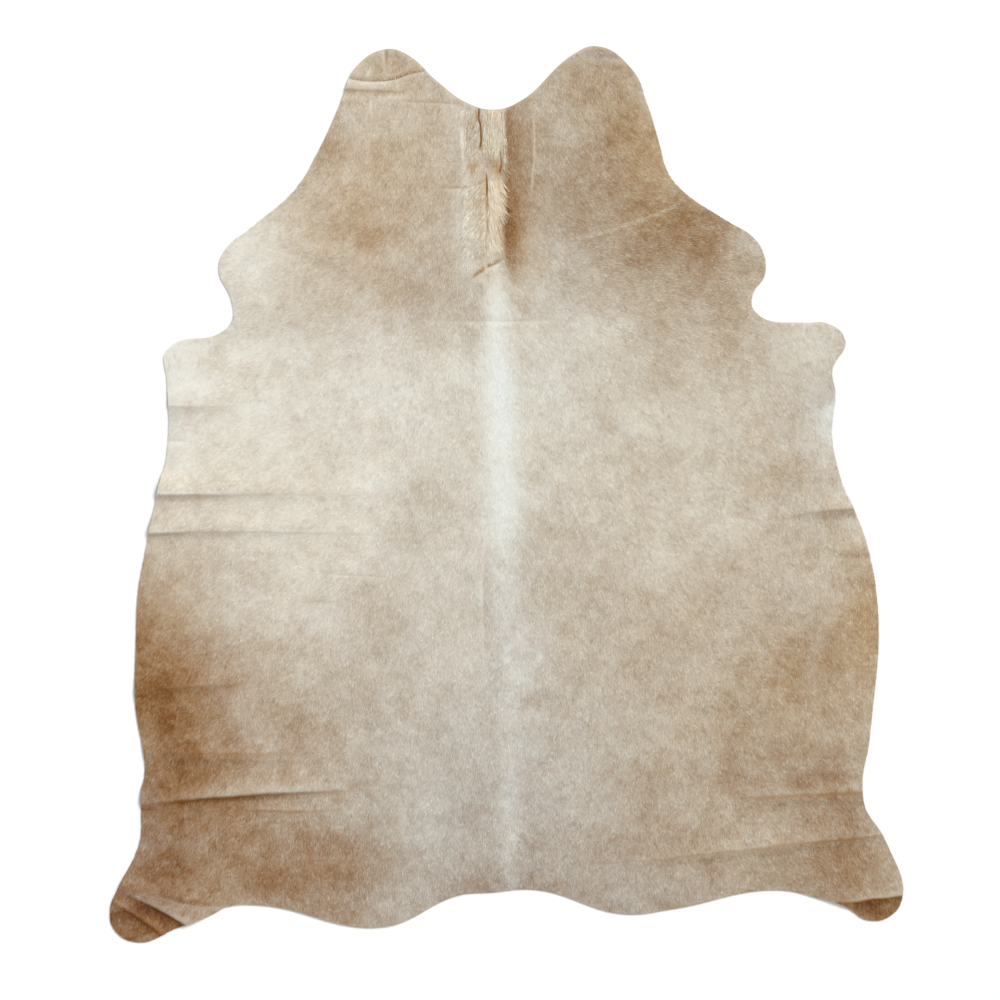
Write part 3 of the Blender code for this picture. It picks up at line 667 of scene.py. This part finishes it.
def beside(places, across, along):
    """How far each place is from a line of straight runs, and after how many runs.

    To the left of the line, as it runs, the distance is above zero.
    """
    nearest = np.full(across.shape, FAR)
    passed = np.zeros(across.shape)
    for order, ((x0, y0), (x1, y1)) in enumerate(zip(places, places[1:])):
        run_x, run_y = x1 - x0, y1 - y0
        away, share = from_run((x0, y0), (run_x, run_y), across, along)
        closer = away < np.abs(nearest)
        side = np.where(run_x * (along - y0) > run_y * (across - x0), 1.0, -1.0)
        nearest = np.where(closer, side * away, nearest)
        passed = np.where(closer, order + share, passed)
    return nearest, passed


def close_to(places, reach, across, along):
    """Tell which places lie in the box round a line."""
    xs, ys = zip(*places)
    return ((across > min(xs) - reach) & (across < max(xs) + reach)
            & (along > min(ys) - reach) & (along < max(ys) + reach))


def crease_values(kind, across, along):
    """The rises or the tones that the creases and scars add; a crease's tone is painted
    shade or highlight, a scar's its own colour.
    """
    total = np.zeros_like(across)
    for _, rise, half_width, tone, marks in CREASES:
        rise, half_width = metres((rise, half_width))
        amount = rise if kind == "rise" else tone
        if not amount:
            continue
        places = [metres(mark) for mark in marks]
        near = close_to(places, CREASE_REACH * half_width, across, along)
        away, passed = beside(places, across[near], along[near])
        to_end = np.minimum(passed, len(places) - 1.0 - passed)
        strength = WEAK_END + (1.0 - WEAK_END) * np.clip(to_end / WEAK_RUN, 0.0, 1.0)
        total[near] += amount * strength * np.exp(-(away / half_width) ** 2)
    return total


def fold_values(across, along):
    """The rise that the leaning folds add, and the tone of their painted highlight and shade."""
    rises, tones = np.zeros_like(across), np.zeros_like(across)
    for _, drop, light, light_reach, shade, shade_reach, marks in LEANING_FOLDS:
        drop, light_reach, shade_reach = metres((drop, light_reach, shade_reach))
        places = [metres(mark[:2]) for mark in marks]
        near = close_to(places, FOLD_REACH * max(light_reach, shade_reach), across, along)
        away, passed = beside(places, across[near], along[near])
        strength = np.interp(passed, range(len(marks)), [mark[2] for mark in marks])
        lit = strength * np.exp(-(away / light_reach) ** 2)
        shaded = strength * np.exp(-(away / shade_reach) ** 2)
        crest = np.clip(0.5 + away / FOLD_EDGE, 0.0, 1.0)
        tones[near] += light * crest * lit - shade * (1.0 - crest) * shaded
        rises[near] += drop * np.clip(0.5 + away / FOLD_DROP, 0.0, 1.0) * lit
    return rises, tones


def folded_lines():
    """The lines of all creases and folds that dip or rise."""
    lines = [marks for _, rise, _, _, marks in CREASES if rise]
    lines += [marks for *_, marks in LEANING_FOLDS]
    return [[metres(mark[:2]) for mark in marks] for marks in lines]


def line_distance(across, along, reach):
    """How far each place is from the nearest crease or fold, up to a reach."""
    nearest = np.full(across.shape, reach)
    for line in folded_lines():
        near = close_to(line, reach, across, along)
        away = np.abs(beside(line, across[near], along[near])[0])
        nearest[near] = np.minimum(nearest[near], away)
    return nearest


# ---------------------------------------------------------------- the lie of the hide

def rim_of(shell):
    """The rim of the node's upper side: where its top meets the thin cut wall."""
    def steep(face):
        return abs(face.normal.z) < WALL

    after = {}
    for edge in shell.edges:
        faces = edge.link_faces
        if len(faces) == 2 and steep(faces[0]) != steep(faces[1]):
            top = faces[1] if steep(faces[0]) else faces[0]
            if top.normal.z > 0.0:
                for loop in top.loops:
                    if loop.edge == edge:
                        after[loop.vert] = loop.link_loop_next.vert
    start = next(iter(after))
    loop = [start]
    while after[loop[-1]] != start:
        loop.append(after[loop[-1]])
    return [vert.co.to_2d() for vert in loop]


def rounded(loop, step):
    """A closed smooth curve through a loop's points, at about even steps."""
    dense = []
    count = len(loop)
    for index in range(count):
        a, b, c, d = (loop[(index + shift) % count] for shift in (-1, 0, 1, 2))
        parts = max(1, round((c - b).length / step))
        for part in range(parts):
            t = part / parts
            dense.append(0.5 * ((2.0 * b) + (c - a) * t
                                + (2.0 * a - 5.0 * b + 4.0 * c - d) * t * t
                                + (3.0 * b - a - 3.0 * c + d) * t * t * t))
    return dense


def drawn_in(loop, distance):
    """A loop moved inwards; it runs with the hide on its left."""
    moved = []
    for index, point in enumerate(loop):
        run = (loop[(index + 1) % len(loop)] - loop[index - 1]).normalized()
        moved.append(point + Vector((-run.y, run.x)) * distance)
    return moved


def inside(loop, across, along):
    """Tell which places a loop goes round."""
    crossings = np.zeros(across.shape, dtype=bool)
    for here, after in zip(loop, loop[1:] + loop[:1]):
        if here.y == after.y:
            continue
        between = (here.y > along) != (after.y > along)
        meets = here.x + (after.x - here.x) * (along - here.y) / (after.y - here.y)
        crossings ^= between & (across < meets)
    return crossings


def edge_distance(ground, loop):
    """How far each place lies inside the cut edge; outside it is below zero."""
    away = np.full(ground.across.shape, EDGE_REACH)
    for here, after in zip(loop, loop[1:] + loop[:1]):
        part = ground.window(
            min(here.x, after.x) - EDGE_REACH, min(here.y, after.y) - EDGE_REACH,
            max(here.x, after.x) + EDGE_REACH, max(here.y, after.y) + EDGE_REACH)
        near, _ = from_run(here, after - here, ground.across[part], ground.along[part])
        away[part] = np.minimum(away[part], near)
    return np.where(inside(loop, ground.across, ground.along), away, -away)


class Lie:
    """How the hide lies: its outline, heights, slopes, tone, warmth and hair direction."""

    def __init__(self, node):
        self.ground = Ground(CAD_BOX)
        shell = bmesh.new()
        shell.from_mesh(node.data)
        bmesh.ops.remove_doubles(shell, verts=shell.verts, dist=TINY)
        shell.normal_update()
        self.outline = rounded(rim_of(shell), OUTLINE_STEP)
        self.distances = edge_distance(self.ground, self.outline)
        self.heights = self.measured_heights(shell)
        shell.free()
        rise_along, rise_across = np.gradient(self.heights, GRID)
        self.slopes = np.hypot(rise_across, rise_along)
        self.tones = self.laid_tones()
        self.warmths = self.laid_warmths()
        self.turns = self.laid_turns()

    def measured_heights(self, shell):
        """The height of the flesh side, from the node's upper side less its thickness."""
        across, along = self.ground.across, self.ground.along
        tree = BVHTree.FromBMesh(shell)
        down = Vector((0.0, 0.0, -1.0))
        heights = np.zeros(across.shape)
        found = np.zeros(across.shape)
        for row, column in np.argwhere(self.distances > 0.0):
            start = Vector((across[row, column], along[row, column], WELL_ABOVE))
            place, *_ = tree.ray_cast(start, down)
            if place is not None:
                heights[row, column] = place.z
                found[row, column] = 1.0
        thickness = min(heights[found > 0.0])
        spread = soften(heights * found, SPREAD_PASSES)
        share = soften(found, SPREAD_PASSES)
        filled = np.where(found > 0.0, heights, spread / np.maximum(share, TINY))
        filled = np.where(share > TINY, filled, thickness)
        short, long = (mottle(across, along, *wave) for wave in SWELL_WAVES)
        lifted = soften(filled, HEIGHT_PASSES) - thickness
        return np.maximum(lifted, 0.0) + SWELL * (0.5 + 0.5 * short * long)

    def laid_tones(self):
        """The coat's tone without its lines, from the patches, clouds and mottling."""
        across, along = self.ground.across, self.ground.along
        east, north = wavered(across, along)
        tones = MID_TONE + soft_ovals([row[1:] for row in PATCHES], east, north)
        tones += soft_ovals(CLOUDS, east, north)
        striped = tones + sum(long_line(line, across, along) for line in LONG_LINES)
        mottled = mottle_sum(MOTTLES, across, along)
        mottled *= np.where(mottled < 0.0, DARK_MOTTLES, 1.0)
        return tones + mottled * mottle_share(striped)

    def laid_warmths(self):
        """How much yellower or greyer the coat is than its tone alone makes it."""
        across, along = self.ground.across, self.ground.along
        warmths = soft_ovals([row[1:] for row in WARMTH], across, along)
        return warmths + mottle_sum(WARM_MOTTLES, across, along)

    def laid_turns(self):
        """The hair's direction as a pair of grids, blended from the places given."""
        across, along = self.ground.across, self.ground.along
        east = np.zeros(across.shape)
        north = np.zeros(across.shape)
        for _, *place, angle in HAIR_LIES:
            x, y = metres(place)
            away = (across - x) ** 2 + (along - y) ** 2
            weight = np.exp(-away / LIE_REACH ** 2) + LIE_FAR / (away + LIE_NEAR)
            east += weight * cos(radians(angle))
            north += weight * sin(radians(angle))
        return east, north

    def flesh_height(self, across, along):
        """The height of the flesh side."""
        return self.ground.read(self.heights, across, along)

    def skin_height(self, across, along):
        """The height of the hair side of the skin."""
        folds = crease_values("rise", across, along) + fold_values(across, along)[0]
        return self.flesh_height(across, along) + LEATHER + np.maximum(folds, DEEPEST)

    def edge(self, across, along):
        """How far inside the cut edge each place is."""
        return self.ground.read(self.distances, across, along)

    def coat_tone(self, across, along):
        """The coat's tone before its creases and folds: mostly the hair's own colour,
        with a few patches and clouds of painted shade.
        """
        tones = self.ground.read(self.tones, across, along)
        return tones + sum(long_line(line, across, along) for line in LONG_LINES)

    def fold_tone(self, across, along):
        """The tone that creases, scars and folds add: painted shade and highlight at the
        creases and folds, and the scars' own colour.
        """
        return crease_values("tone", across, along) + fold_values(across, along)[1]

    def tone(self, across, along):
        return self.coat_tone(across, along) + self.fold_tone(across, along)

    def warmth(self, across, along):
        return self.ground.read(self.warmths, across, along)

    def hair_angle(self, across, along):
        east, north = self.turns
        return np.arctan2(self.ground.read(north, across, along),
                          self.ground.read(east, across, along))


# ---------------------------------------------------------------- shader maths

class Signal:
    """A number that varies over a surface; arithmetic on it adds Math nodes."""

    def __init__(self, graph, socket):
        self.graph = graph
        self.socket = socket

    def _math(self, operation, first, second):
        node = self.graph.node("ShaderNodeMath", {"operation": operation},
                               {0: first, 1: second})
        return Signal(self.graph, node.outputs[0])

    def __add__(self, other):
        return self._math("ADD", self, other)

    def __sub__(self, other):
        return self._math("SUBTRACT", self, other)

    def __mul__(self, other):
        return self._math("MULTIPLY", self, other)

    def __truediv__(self, other):
        return self._math("DIVIDE", self, other)


class Graph:
    """The nodes of one material."""

    def __init__(self, name):
        self.material = bpy.data.materials.new(name)
        self.material.use_nodes = True
        self.tree = self.material.node_tree
        self.shader = self.tree.nodes["Principled BSDF"]

    def node(self, kind, settings=None, inputs=None):
        """Add a node: its type, then its settings, then its sockets' values or links."""
        node = self.tree.nodes.new(kind)
        for name, value in (settings or {}).items():
            if name == "stops":
                self._set_stops(node.color_ramp, value)
            else:
                setattr(node, name, value)
        for socket, value in (inputs or {}).items():
            self.feed(node.inputs[socket], value)
        return node

    def feed(self, socket, value):
        """Link a socket to a signal or another socket, or set its value."""
        if isinstance(value, Signal):
            value = value.socket
        if isinstance(value, bpy.types.NodeSocket):
            self.tree.links.new(value, socket)
        else:
            socket.default_value = value

    def finish(self, inputs):
        """Set or link sockets of the Principled shader."""
        for name, value in inputs.items():
            self.feed(self.shader.inputs[name], value)
        return self.material

    def attribute(self, name):
        node = self.node("ShaderNodeAttribute", {"attribute_name": name})
        return Signal(self, node.outputs["Fac"])

    def noise(self, scale, detail):
        """Cloudy noise over the object's own coordinates."""
        place = self.node("ShaderNodeTexCoord").outputs["Object"]
        node = self.node("ShaderNodeTexNoise", {},
                         {"Vector": place, "Scale": scale, "Detail": detail})
        return Signal(self, node.outputs["Fac"])

    def held(self, value, least, most):
        """A signal kept between two numbers."""
        node = self.node("ShaderNodeClamp", {}, {"Value": value, "Min": least, "Max": most})
        return Signal(self, node.outputs["Result"])

    def ramp(self, stops, factor):
        """A colour that follows a signal through its stops."""
        return self.node("ShaderNodeValToRGB", {"stops": stops}, {"Fac": factor}).outputs["Color"]

    def scaled(self, vector, scale):
        """A colour or vector times a number or signal."""
        node = self.node("ShaderNodeVectorMath", {"operation": "SCALE"},
                         {"Vector": vector, "Scale": scale})
        return node.outputs["Vector"]

    def bump(self, strength, distance, height):
        """Low relief for the shader's Normal."""
        node = self.node("ShaderNodeBump", {}, {
            "Strength": strength, "Distance": distance, "Height": height})
        return node.outputs["Normal"]

    @staticmethod
    def _set_stops(ramp, stops):
        while len(ramp.elements) > 1:
            ramp.elements.remove(ramp.elements[-1])
        ramp.elements[0].position, ramp.elements[0].color = stops[0]
        for position, colour in stops[1:]:
            ramp.elements.new(position).color = colour


def linear(level):
    """A colour channel from 0 to 255, as light."""
    share = level / 255.0
    return share / 12.92 if share <= 0.04045 else ((share + 0.055) / 1.055) ** 2.4


def painted(red, green, blue):
    """The paint that looks like a colour seen in the scene's light."""
    seen = (linear(red), linear(green), linear(blue))
    return (*((light - gleam) / gain
              for light, gleam, gain in zip(seen, SKY_GLEAM, LIGHT_GAIN)), 1.0)


def coat_colour(graph, depth=1.0):
    """The hair's colour from its tone and warmth; depth below 1 shades it."""
    low, high = TONE_RANGE
    stops = [((tone - low) / (high - low), painted(*rgb)) for tone, *rgb in HAIR_COLOURS]
    ramp = graph.ramp(stops, (graph.attribute("tone") - low) / (high - low))
    at_brown, by_tone, least = WARM_SHARE
    share = graph.held(graph.attribute("tone") * by_tone + at_brown, least, 1.0)
    warm = graph.scaled(WARM_AXIS, graph.attribute("warmth") * share)
    tinted = graph.node("ShaderNodeVectorMath", {"operation": "ADD"}, {0: ramp, 1: warm})
    return graph.scaled(tinted.outputs["Vector"], depth)


def hair_material():
    graph = Graph("cow_hair")
    return graph.finish({
        "Base Color": coat_colour(graph), "Roughness": 0.62, "Specular IOR Level": 0.30,
        "Sheen Weight": 0.12, "Sheen Roughness": 0.5})


def undercoat_material():
    """The skin between the hairs, painted a little darker as shade, with a hair-fine grain."""
    graph = Graph("undercoat")
    grain = graph.noise(scale=900.0, detail=3.0)
    return graph.finish({
        "Base Color": coat_colour(graph, UNDERCOAT_SHADE_SHARE), "Roughness": 0.75,
        "Specular IOR Level": 0.2,
        "Normal": graph.bump(strength=0.35, distance=0.0006, height=grain)})


def suede_material():
    """The flesh side and the cut edge: pale dressed suede."""
    graph = Graph("flesh_suede")
    nap = graph.noise(scale=60.0, detail=6.0)
    fibre = graph.noise(scale=1400.0, detail=2.0)
    stops = [(stop, painted(*rgb)) for stop, *rgb in SUEDE_COLOURS]
    return graph.finish({
        "Base Color": graph.ramp(stops, nap * 0.7 + fibre * 0.3), "Roughness": 0.92,
        "Specular IOR Level": 0.15,
        "Normal": graph.bump(strength=0.5, distance=0.0004, height=fibre)})


# ---------------------------------------------------------------- the skin

def hex_places(step):
    """Staggered rows of points over the hide's box."""
    rows = np.arange(CAD_BOX[0].y, CAD_BOX[1].y, step * HEX_ROWS)
    columns = np.arange(CAD_BOX[0].x, CAD_BOX[1].x, step)
    across, along = np.meshgrid(columns, rows)
    across[1::2] += step / 2.0
    return across.ravel(), along.ravel()


def rows_along(line):
    """Rows of points on both sides of a line and on it."""
    places = []
    for start, end in zip(line, line[1:]):
        start, end = Vector(start), Vector(end)
        run = end - start
        side = Vector((-run.y, run.x)).normalized()
        steps = max(2, round(run.length / CREASE_STEP))
        for aside in CREASE_ROWS:
            places += [start + run * (step / steps) + side * aside for step in range(steps)]
    return places


def skin_places(lie):
    """Points of the skin: close together at folds and creases and wider elsewhere."""
    lines = folded_lines()
    near = np.array([tuple(place) for line in lines for place in rows_along(line)])
    kept = [near[lie.edge(near[:, 0], near[:, 1]) > CREASE_ROOM]]
    for step, folded in ((FINE, True), (COARSE, False)):
        across, along = hex_places(step)
        slope = lie.ground.read(lie.slopes, across, along)
        keep = (lie.edge(across, along) > EDGE_ROOM * step) & ((slope > STEEP) == folded)
        across, along = across[keep], along[keep]
        clear = np.ones(across.shape, dtype=bool)
        for line in lines:
            away = np.abs(beside(line, across, along)[0])
            clear &= away > CREASE_ROWS[-1] + CREASE_ROOM
        kept.append(np.column_stack((across[clear], along[clear])))
    return np.vstack(kept)


def laid_triangles(lie):
    """The skin's upper side: its points across and along, and the triangles of them."""
    rim = drawn_in(lie.outline, EDGE_TRIM)
    points = rim + [Vector(place) for place in skin_places(lie).tolist()]
    flat_points, _, triangles, *_ = delaunay_2d_cdt(
        points, [], [list(range(len(rim)))], 1, POINT_MERGE)
    across = np.array([point.x for point in flat_points])
    along = np.array([point.y for point in flat_points])
    corners = np.array(triangles)
    on_hide = inside(rim, across[corners].mean(axis=1), along[corners].mean(axis=1))
    used, corners = np.unique(corners[on_hide], return_inverse=True)
    return across[used], along[used], corners.reshape(-1, 3)


def close_below(mesh, lie):
    """Give the hair side its cut edge and its flesh side, in an order that never varies."""
    sheet = bmesh.new()
    sheet.from_mesh(mesh)
    under = bmesh.ops.extrude_face_region(sheet, geom=list(sheet.faces))
    for item in under["geom"]:
        if isinstance(item, bmesh.types.BMVert):
            place = np.array([item.co.x]), np.array([item.co.y])
            item.co.z = float(lie.flesh_height(*place)[0])
    bmesh.ops.recalc_face_normals(sheet, faces=list(sheet.faces))
    sheet.faces.sort(key=lambda face: face.calc_center_median().dot(FACE_ORDER))
    for face in sheet.faces:
        face.smooth = True
        face.material_index = 0 if face.normal.z > WALL else 1
    sheet.to_mesh(mesh)
    sheet.free()
    mesh.set_sharp_from_angle(angle=SHARP_EDGE)


def make_skin(lie):
    """The sheet of leather, closed, with its hair side up."""
    across, along, triangles = laid_triangles(lie)
    top = np.column_stack((across, along, lie.skin_height(across, along)))
    mesh = bpy.data.meshes.new("skin")
    mesh.from_pydata(top.tolist(), [], triangles.tolist())
    close_below(mesh, lie)
    map_skin(mesh)
    give_values(mesh, lie)
    mesh.materials.append(undercoat_material())
    mesh.materials.append(suede_material())
    return placed("skin", mesh)


def placed(name, data):
    """An object of its own, in the scene."""
    item = bpy.data.objects.new(name, data)
    bpy.context.collection.objects.link(item)
    return item


def map_skin(mesh):
    """Lay the hair side on the left half of the UV square and the flesh side beside it."""
    low, high = CAD_BOX
    wide, tall = high.x - low.x, high.y - low.y
    layer = mesh.uv_layers.new(name="OFBake")
    for face in mesh.polygons:
        shift = 0.0 if face.material_index == 0 else 0.5
        wall = abs(face.normal.z) < WALL
        for loop in face.loop_indices:
            place = mesh.vertices[mesh.loops[loop].vertex_index].co
            u = MAP_MARGIN + shift + MAP_HALF * (place.x - low.x) / wide
            v = MAP_MARGIN + (1.0 - 2.0 * MAP_MARGIN) * (place.y - low.y) / tall
            if wall:
                u += MAP_WALL * face.normal.x * place.z
                v += MAP_WALL * place.z
            layer.uv[loop].vector = (u, v)


def give_values(mesh, lie):
    """Store the coat's tone and warmth on a mesh's points."""
    places = np.empty(len(mesh.vertices) * 3)
    mesh.vertices.foreach_get("co", places)
    across, along = places[0::3], places[1::3]
    store(mesh, "tone", lie.tone(across, along))
    store(mesh, "warmth", lie.warmth(across, along))


def store(mesh, name, values):
    attribute = mesh.attributes.new(name, 'FLOAT', 'POINT')
    attribute.data.foreach_set("value", np.ascontiguousarray(values, dtype=np.float32))


# ---------------------------------------------------------------- the coat

def coat_parts(across, along):
    """The coat's parts, each with the roots that are its own."""
    neck, rump = along > NECK_FROM, along <= RUMP_FROM
    barrel, left = ~neck & ~rump, across <= 0.0
    return {
        "coat_neck": neck,
        "coat_barrel_left": barrel & left, "coat_barrel_right": barrel & ~left,
        "coat_rump_left": rump & left, "coat_rump_right": rump & ~left,
    }


def hair_roots(lie, rng):
    """Roots all over the hide, on a shaken grid."""
    across, along = hex_places(HAIR_SPACING)
    across = across + rng.uniform(-0.5, 0.5, across.shape) * HAIR_SPACING
    along = along + rng.uniform(-0.5, 0.5, along.shape) * HAIR_SPACING
    on_skin = lie.edge(across, along) > EDGE_TRIM + ROOT_ROOM
    return across[on_skin], along[on_skin]


def hair_angles(lie, rng, across, along):
    """Which way each hair lies: along the animal's lines, but for its lock and itself."""
    angle = lie.hair_angle(across, along)
    angle += LOCK_TURN * sum(mottle(across, along, *lock) for lock in TURN_LOCKS)
    return angle + HAIR_TURN * rng.normal(0.0, 1.0, len(across))


def hair_lengths(lie, rng, across, along, angle):
    """Lengths: shorter in folds, and none reaches far past the hide's edge."""
    length = rng.uniform(*HAIR_LENGTH, len(across))
    length *= np.interp(line_distance(across, along, COMBED[1]), COMBED, (SHORTEST, 1.0))
    here = lie.edge(across, along)
    there = lie.edge(across + length * np.cos(angle), along + length * np.sin(angle))
    share = (here + HAIR_OVERHANG) / np.maximum(here - there, LEAST_RUN)
    cut = length * np.clip(share, 0.0, 1.0)
    return np.where(there < -HAIR_OVERHANG, cut, length)


def hair_blades(lie, rng, across, along, angle, length):
    """The three corners of each blade: the tip between the two of its root."""
    count = len(across)
    east, north = np.cos(angle), np.sin(angle)
    tip_x, tip_y = across + length * east, along + length * north
    lift = rng.uniform(*HAIR_LIFT, count) * np.clip(length / HAIR_LENGTH[0], LEAST_LIFT, 1.0)
    lift *= 1.0 + LOCK_LIFT * mottle(across, along, *LIFT_LOCKS)
    half = rng.uniform(*HAIR_WIDTH, count) / 2.0
    roll = rng.normal(0.0, ROLL_SPREAD, count) + mottle(across, along, *ROLL_LOCKS)
    side = np.column_stack((-north * half, east * half, half * np.tan(HAIR_ROLL * roll)))
    root = np.column_stack((across, along, lie.skin_height(across, along) - HAIR_SINK))
    tip = np.column_stack((tip_x, tip_y, lie.skin_height(tip_x, tip_y) + lift))
    return np.stack((root - side, tip, root + side), axis=1)


def hair_tones(lie, rng, across, along, angle, length):
    """The tones at each blade's three corners."""
    count = len(across)
    east, north = np.cos(angle), np.sin(angle)
    from_root = length / 2.0 + STREAK * rng.normal(0.0, 1.0, count)
    own = lie.coat_tone(across + from_root * east, along + from_root * north)
    grain = LOCK_TONE * mottle(across, along, *TONE_LOCKS)
    grain += HAIR_TONE * rng.normal(0.0, TONE_SPREAD, count)
    own += grain * mottle_share(own)
    # Painted light where hair lies towards the key light and painted shade where it lies away,
    # evening out the shading that the blades' tilt gives.
    own += LIE_TONE * (np.cos(angle - radians(KEY_FROM)) + LIE_MIDDLE)
    root = own + lie.fold_tone(across, along) + ROOT_SHADE
    tip = own + lie.fold_tone(across + length * east, along + length * north) + TIP_LIGHT
    return np.stack((root, tip, root), axis=1)


def make_coat(lie, material):
    """Short hair, each a slim blade that lies back along the animal's lines."""
    rng = np.random.default_rng(COAT_SEED)
    roots = hair_roots(lie, rng)
    angle = hair_angles(lie, rng, *roots)
    length = hair_lengths(lie, rng, *roots, angle)
    places = hair_blades(lie, rng, *roots, angle, length)
    tones = hair_tones(lie, rng, *roots, angle, length)
    warmth = lie.warmth(*roots)
    parts = []
    for name, here in coat_parts(*roots).items():
        blades = np.arange(3 * np.count_nonzero(here)).reshape(-1, 3)
        parts.append(make_hair(name, places[here].reshape(-1, 3), blades,
                               tones[here].ravel(), np.repeat(warmth[here], 3), material))
    return parts


def make_hair(name, places, faces, tones, warmths, material):
    """One joined mesh of hair, with its values and a map seen from above."""
    mesh = bpy.data.meshes.new(name)
    mesh.from_pydata(places, [], faces)
    store(mesh, "tone", tones)
    store(mesh, "warmth", warmths)
    low, high = places.min(axis=0), places.max(axis=0)
    span = high - low
    corners = np.empty(len(mesh.loops), dtype=np.int32)
    mesh.loops.foreach_get("vertex_index", corners)
    flat = (places[corners, :2] - low[:2]) / span[:2]
    flat = HAIR_MAP_MARGIN + (1.0 - 2.0 * HAIR_MAP_MARGIN) * flat
    layer = mesh.uv_layers.new(name="OFBake")
    layer.uv.foreach_set("vector", flat.astype(np.float32).ravel())
    mesh.materials.append(material)
    return placed(name, mesh)


def run_of_hair(rng, hairs, *sizes):
    """Roots, angles, bends, lengths, tones and warmths of one run of the mane."""
    *edges, left_angle, right_angle, bend, length, tone, warmth = sizes
    top, bottom, left, right, length = metres((*edges, length))
    share = rng.uniform(0.0, 1.0, hairs)
    angle = left_angle + (right_angle - left_angle) * share
    angle += rng.normal(0.0, MANE_TURN, hairs)
    return np.stack((
        left + (right - left) * share, rng.uniform(bottom, top, hairs), np.radians(angle),
        np.radians(bend + rng.normal(0.0, MANE_CURL, hairs)),
        length * rng.uniform(*MANE_LENGTHS, hairs), np.full(hairs, tone),
        np.full(hairs, warmth)))


def make_mane(lie, material):
    """The longer hair along the neck's ridge: bent strips that taper to their tips."""
    rng = np.random.default_rng(MANE_SEED)
    x, y, angle, bend, length, lighter, warmer = np.hstack(
        [run_of_hair(rng, *run[1:]) for run in MANE_RUNS])
    count = len(x)
    rise = MANE_RISE * rng.uniform(*MANE_RISES, count)
    own = lie.coat_tone(x, y) + lighter + MANE_TONES * rng.normal(0.0, 1.0, count)
    warmth = lie.warmth(x, y) + warmer
    steep, fall = MANE_ARCH
    places, tones, warmths = [], [], []
    for index in range(MANE_STEPS + 1):
        share = index / MANE_STEPS
        east, north = np.cos(angle), np.sin(angle)
        height = lie.skin_height(x, y) + rise * steep * share * (1.0 - fall * share)
        half = MANE_WIDTH / 2.0 * (1.0 - share)
        for side in ((1.0, -1.0) if index < MANE_STEPS else (0.0,)):
            places.append(np.column_stack(
                (x - side * north * half, y + side * east * half, height)))
            tones.append(own + lie.fold_tone(x, y) - MANE_ROOT_SHADE * (1.0 - share))
            warmths.append(warmth)
        x, y = x + east * length / MANE_STEPS, y + north * length / MANE_STEPS
        angle = angle + bend / MANE_STEPS

    last = 2 * MANE_STEPS
    strip = []
    for low in range(0, last - 2, 2):
        strip += [(low, low + 1, low + 3), (low, low + 3, low + 2)]
    strip.append((last - 2, last - 1, last))
    faces = np.array(strip) + (last + 1) * np.arange(count)[:, None, None]
    return make_hair("mane", np.stack(places, axis=1).reshape(-1, 3), faces.reshape(-1, 3),
                     np.stack(tones, axis=1).ravel(), np.stack(warmths, axis=1).ravel(),
                     material)


# ---------------------------------------------------------------- the studio

def floor_material():
    graph = Graph("pale_floor")
    stops = [(stop, (grey, grey, grey, 1.0)) for stop, grey in FLOOR_GREYS]
    cloud = graph.noise(scale=2.0, detail=2.0)
    return graph.finish({
        "Base Color": graph.ramp(stops, cloud), "Roughness": 0.9, "Specular IOR Level": 0.1})


def make_floor():
    for item in bpy.context.selected_objects:
        item.select_set(False)
    bpy.ops.mesh.primitive_plane_add(size=FLOOR_SIZE, location=(0.0, 0.0, 0.0))
    floor = bpy.context.object
    floor.name = "floor"
    floor.data.materials.append(floor_material())


def make_light():
    """One broad soft light, and an even white sky to fill its shadows."""
    key = bpy.data.lights.new("key", 'SUN')
    key.energy = KEY_STRENGTH
    key.angle = radians(KEY_SOFTNESS)
    placed("key", key).rotation_euler = tuple(radians(turn) for turn in KEY_TURN)

    world = bpy.data.worlds.new("studio")
    world.use_nodes = True
    background = world.node_tree.nodes["Background"]
    background.inputs["Color"].default_value = (1.0, 1.0, 1.0, 1.0)
    background.inputs["Strength"].default_value = FILL_STRENGTH
    bpy.context.scene.world = world


def make_camera():
    """A camera over the hide, and colours shown as they are."""
    lens = bpy.data.cameras.new("camera")
    lens.lens = CAMERA_LENS
    lens.sensor_width = CAMERA_SENSOR
    lens.clip_end = CAMERA_REACH
    camera = placed("camera", lens)
    camera.location = CAMERA_PLACE
    bpy.context.scene.camera = camera
    bpy.context.scene.view_settings.view_transform = 'Standard'
    bpy.context.scene.view_settings.look = 'None'


# ---------------------------------------------------------------- put together

make_floor()
make_light()
make_camera()
lie = Lie(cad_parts["hide"])
hair = hair_material()
skin = make_skin(lie)
coat = make_coat(lie, hair)
mane = make_mane(lie, hair)

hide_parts("hide")
for piece in (skin, mane, *coat):
    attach(piece, "root")
